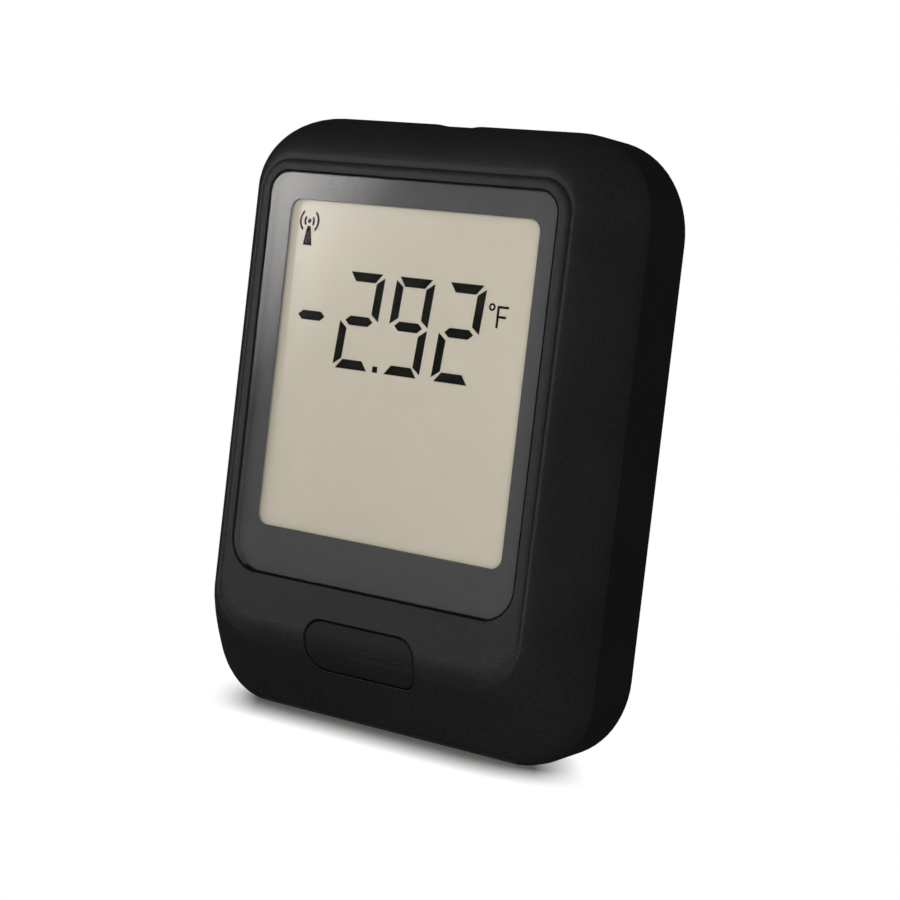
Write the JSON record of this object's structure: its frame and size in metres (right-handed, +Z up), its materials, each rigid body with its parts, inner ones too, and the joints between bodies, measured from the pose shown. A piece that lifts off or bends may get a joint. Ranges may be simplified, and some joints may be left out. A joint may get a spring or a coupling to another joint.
{
  "type": "temperature data logger",
  "caption": "Black handheld-size logger that stands on its bottom edge, with a flat window over a segment display and one press button in the chin.",
  "frame": {"origin": "middle of the underside, under the middle of the depth", "axes": "+Z up along the height, -Y out of the window, +X to the right seen from the front"},
  "size_m": [0.075, 0.024, 0.0995],
  "materials": {
    "front_shell": "fine speckled texture, satin black",
    "rear_shell": "fine texture, warm black",
    "button_plastic": "smooth matt black",
    "seal_rubber": "soft black rubber",
    "window_plastic": "clear polished sheet",
    "border_ink": "dark grey ink behind clear sheet",
    "tape": "black double-sided tape",
    "clear_glass": "clear display glass",
    "segment_ink": "switched-on display segments",
    "display_field": "warm grey display field",
    "reflector_film": "silver film",
    "frame_plastic": "white moulded plastic",
    "zebra_rubber": "striped contact rubber",
    "board_laminate": "green solder mask on laminate",
    "radio_laminate": "blue solder mask on laminate",
    "zinc_steel": "bright zinc plate",
    "black_steel": "black oxide",
    "sheet_steel": "tinned sheet steel",
    "switch_plastic": "black moulding",
    "spring_bronze": "bright spring strip",
    "contact_gold": "gold plate",
    "chip_resin": "black chip resin",
    "ceramic": "fired ceramic",
    "resistor_film": "glazed film",
    "ferrite": "grey ferrite",
    "sensor_epoxy": "dipped blue epoxy",
    "cell_pouch": "satin aluminium pouch",
    "foam": "black adhesive foam",
    "connector_plastic": "natural nylon",
    "lead_red": "red wire cover",
    "lead_black": "black wire cover",
    "label_paper": "silver grey label, blank"
  },
  "bodies": {
    "housing": {"front_case": "front_shell", "rear_case": "rear_shell", "case_seal": "seal_rubber", "display_window": "window_plastic", "window_border": "border_ink", "window_tape": "tape", "lcd_front_glass": "clear_glass", "lcd_segments": "segment_ink", "lcd_rear_glass": "display_field", "lcd_reflector": "reflector_film", "lcd_frame": "frame_plastic", "zebra_strip": "zebra_rubber", "main_board": "board_laminate", "battery_circuit": "board_laminate", "radio_board": "radio_laminate", "board_screws": "zinc_steel", "case_screws": "black_steel", "usb_shell": "sheet_steel", "radio_shield": "sheet_steel", "switch_cover": "sheet_steel", "crystal": "sheet_steel", "switch_base": "switch_plastic", "usb_tongue": "switch_plastic", "switch_dome": "spring_bronze", "usb_contacts": "contact_gold", "radio_antenna": "contact_gold", "microcontroller": "chip_resin", "memory_chip": "chip_resin", "charger_chip": "chip_resin", "chip_capacitors": "ceramic", "chip_resistors": "resistor_film", "power_inductor": "ferrite", "temperature_sensor": "sensor_epoxy", "battery_cell": "cell_pouch", "battery_pad": "foam", "battery_header": "connector_plastic", "battery_plug": "connector_plastic", "battery_lead_red": "lead_red", "battery_lead_black": "lead_black", "rating_label": "label_paper"},
    "button": {"button_cap": "button_plastic"},
    "plunger": {"switch_plunger": "switch_plastic"}
  },
  "joints": [
    {"name": "button_press", "type": "slide", "parent": "housing", "child": "button", "axis": [0, 1, 0], "range_m": [0, 0.0005], "stiffness_N_per_m": 400},
    {"name": "plunger_press", "type": "slide", "parent": "housing", "child": "plunger", "axis": [0, 1, 0], "range_m": [0, 0.0005]}
  ],
  "couplings": [
    {"joint": "plunger_press", "follows": "button_press", "ratio": 1}
  ]
}
